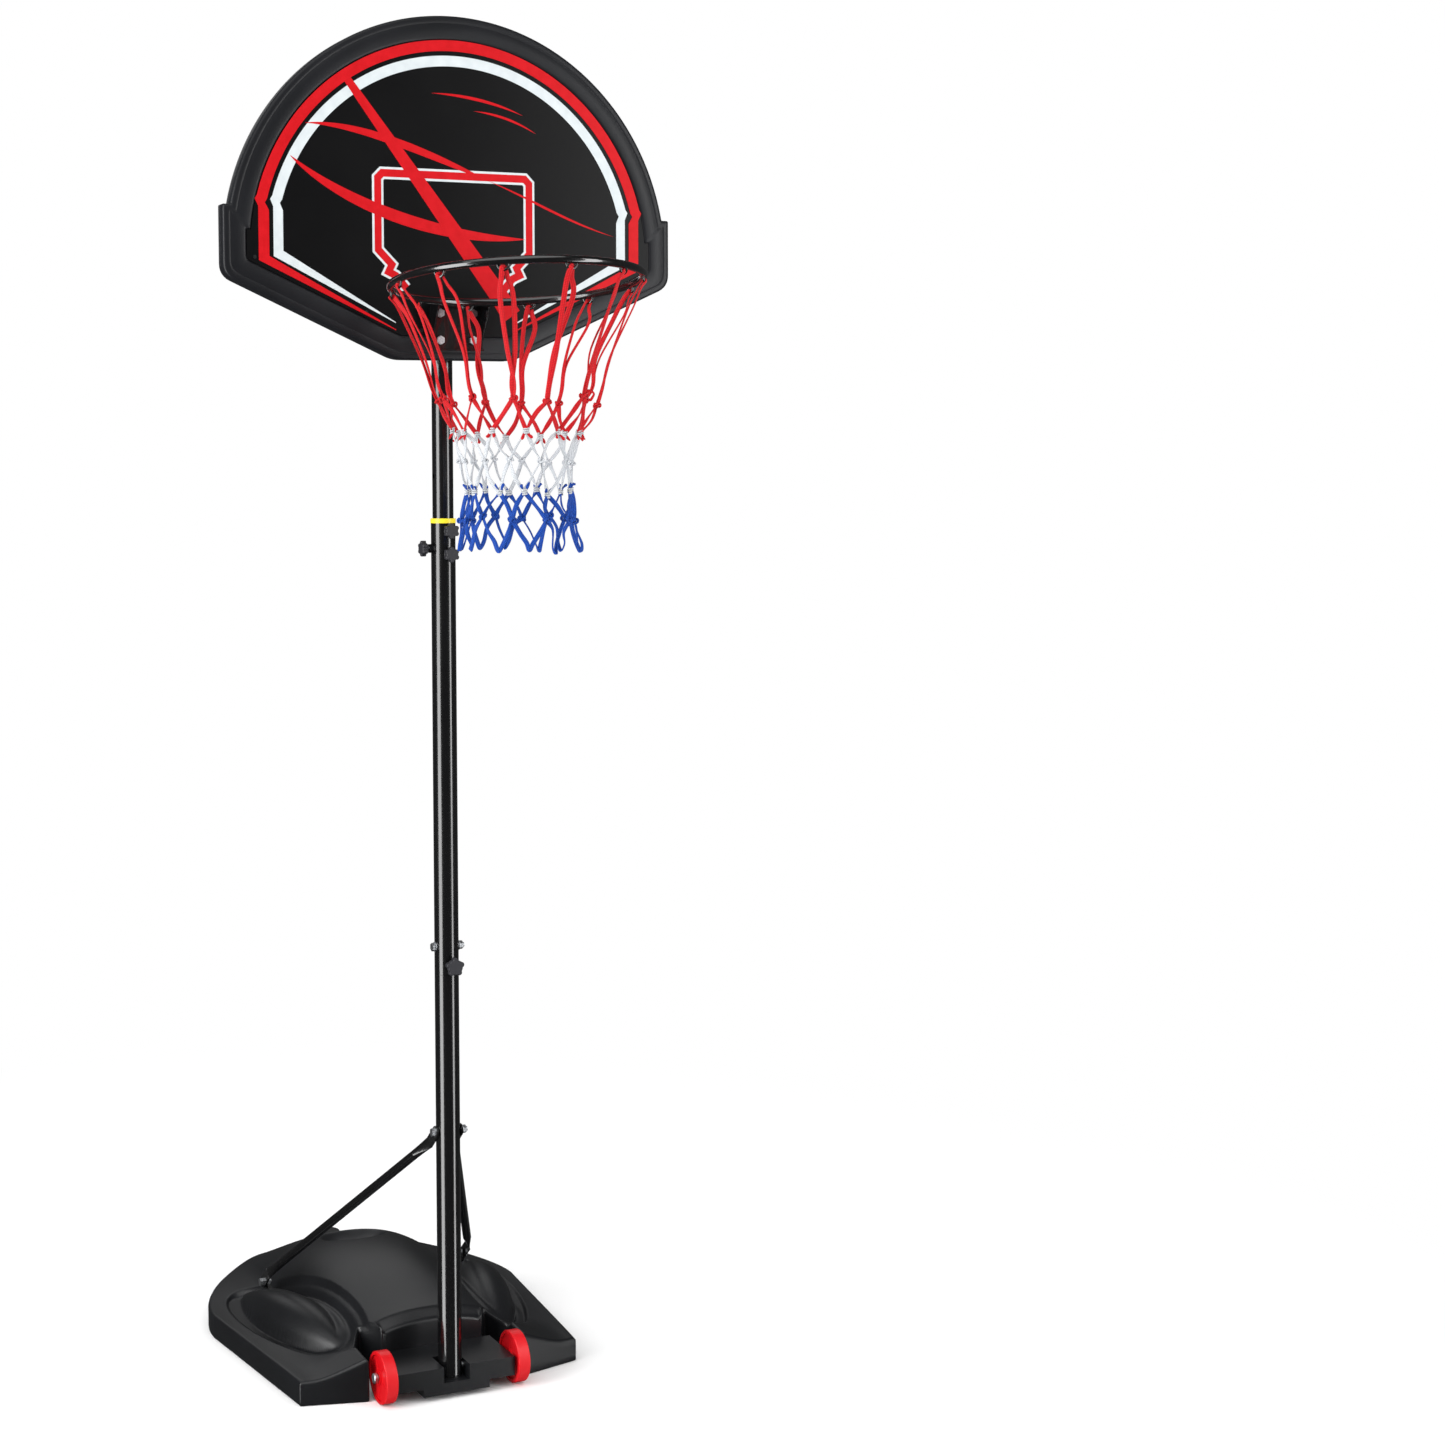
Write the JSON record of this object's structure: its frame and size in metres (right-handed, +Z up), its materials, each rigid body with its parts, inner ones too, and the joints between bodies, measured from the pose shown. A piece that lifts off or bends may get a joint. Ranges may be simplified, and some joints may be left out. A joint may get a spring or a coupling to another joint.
{
  "type": "portable basketball hoop",
  "caption": "Portable basketball hoop: wheeled ballast base, strutted telescoping mast, arched backboard, fixed ring and knotted net.",
  "frame": {"origin": "on the floor, at the centre of the base's footprint (half way from the front corners to the rear edge, on the plane of symmetry)", "axes": "+Z up along the mast; the hoop faces -Y; +X to the right when looking along +Y; X = 0 is the plane of symmetry"},
  "size_m": [0.808, 1.2175, 2.3609],
  "materials": {
    "base_plastic": "satin black blow-moulded polyethylene, faintly grained",
    "cap_plastic": "black moulded plastic",
    "seal_rubber": "dull black rubber",
    "zinc_steel": "bright zinc-plated steel",
    "wheel_plastic": "red moulded plastic",
    "gloss_paint": "gloss black powder coat on steel",
    "ring_paint": "gloss black powder coat on steel",
    "black_plastic": "black moulded plastic",
    "collar_plastic": "yellow moulded plastic",
    "knob_plastic": "dark grey-black moulded plastic, fine texture",
    "board_plastic": "satin black polyethylene with a fine moulded grain",
    "panel_plastic": "smooth black printed plastic sheet with red and white lines",
    "net_cord": "braided nylon cord: red, white and blue bands"
  },
  "bodies": {
    "base": {"axle": "zinc_steel", "axle_caps": "zinc_steel", "base_tank": "base_plastic", "clamp_nuts": "gloss_paint", "filler_ring": "base_plastic", "filler_seal": "seal_rubber", "foot_bolts": "zinc_steel", "foot_clips": "gloss_paint", "foot_nuts": "zinc_steel", "guide_collar": "collar_plastic", "joint_bolt": "zinc_steel", "joint_nut": "zinc_steel", "joint_washers": "zinc_steel", "lower_tube": "gloss_paint", "mast_foot": "black_plastic", "mast_seat": "base_plastic", "middle_tube": "gloss_paint", "strut_bolt": "zinc_steel", "strut_left": "gloss_paint", "strut_nut": "zinc_steel", "strut_right": "gloss_paint", "strut_washers": "zinc_steel"},
    "slide": {"upper_tube": "gloss_paint", "slide_foot": "black_plastic", "mast_cap": "black_plastic", "mast_saddles": "black_plastic", "board_bracket": "gloss_paint", "u_bolts": "zinc_steel", "u_bolt_nuts": "zinc_steel", "board_frame": "board_plastic", "board_panel": "panel_plastic", "panel_rivets": "black_plastic", "ring": "ring_paint", "net_hooks": "ring_paint", "ring_plate": "ring_paint", "ring_bolts": "zinc_steel", "ring_nuts": "zinc_steel", "net": "net_cord"},
    "left_wheel": {"wheel_left": "wheel_plastic"},
    "right_wheel": {"wheel_right": "wheel_plastic"},
    "cap": {"filler_cap": "cap_plastic"},
    "high_knob": {"clamp_knob_high": "knob_plastic", "clamp_knob_high_stud": "zinc_steel"},
    "low_knob": {"clamp_knob_low": "knob_plastic", "clamp_knob_low_stud": "zinc_steel"},
    "side_lock": {"side_knob": "knob_plastic", "side_knob_stud": "zinc_steel"},
    "joint_lock": {"joint_knob": "knob_plastic", "joint_knob_stud": "zinc_steel"}
  },
  "joints": [
    {"name": "mast_slide", "type": "slide", "parent": "base", "child": "slide", "axis": [0, 0, 1], "range_m": [-0.123, 0.246]},
    {"name": "left_wheel_spin", "type": "hinge", "parent": "base", "child": "left_wheel", "pos_m": [-0.124, -0.37, 0.0455], "axis": [1, 0, 0], "continuous": true},
    {"name": "right_wheel_spin", "type": "hinge", "parent": "base", "child": "right_wheel", "pos_m": [0.124, -0.37, 0.0455], "axis": [1, 0, 0], "continuous": true},
    {"name": "filler_cap_turn", "type": "hinge", "parent": "base", "child": "cap", "pos_m": [0, 0.262, 0.09], "axis": [0, 0, 1], "continuous": true},
    {"name": "high_knob_turn", "type": "hinge", "parent": "base", "child": "high_knob", "pos_m": [0, -0.405, 1.504], "axis": [0, -1, 0], "continuous": true},
    {"name": "low_knob_turn", "type": "hinge", "parent": "base", "child": "low_knob", "pos_m": [0, -0.405, 1.464], "axis": [0, -1, 0], "continuous": true},
    {"name": "side_knob_turn", "type": "hinge", "parent": "base", "child": "side_lock", "pos_m": [-0.035, -0.37, 1.474], "axis": [-1, 0, 0], "continuous": true},
    {"name": "joint_knob_turn", "type": "hinge", "parent": "base", "child": "joint_lock", "pos_m": [0, -0.405, 0.757], "axis": [0, -1, 0], "continuous": true}
  ]
}
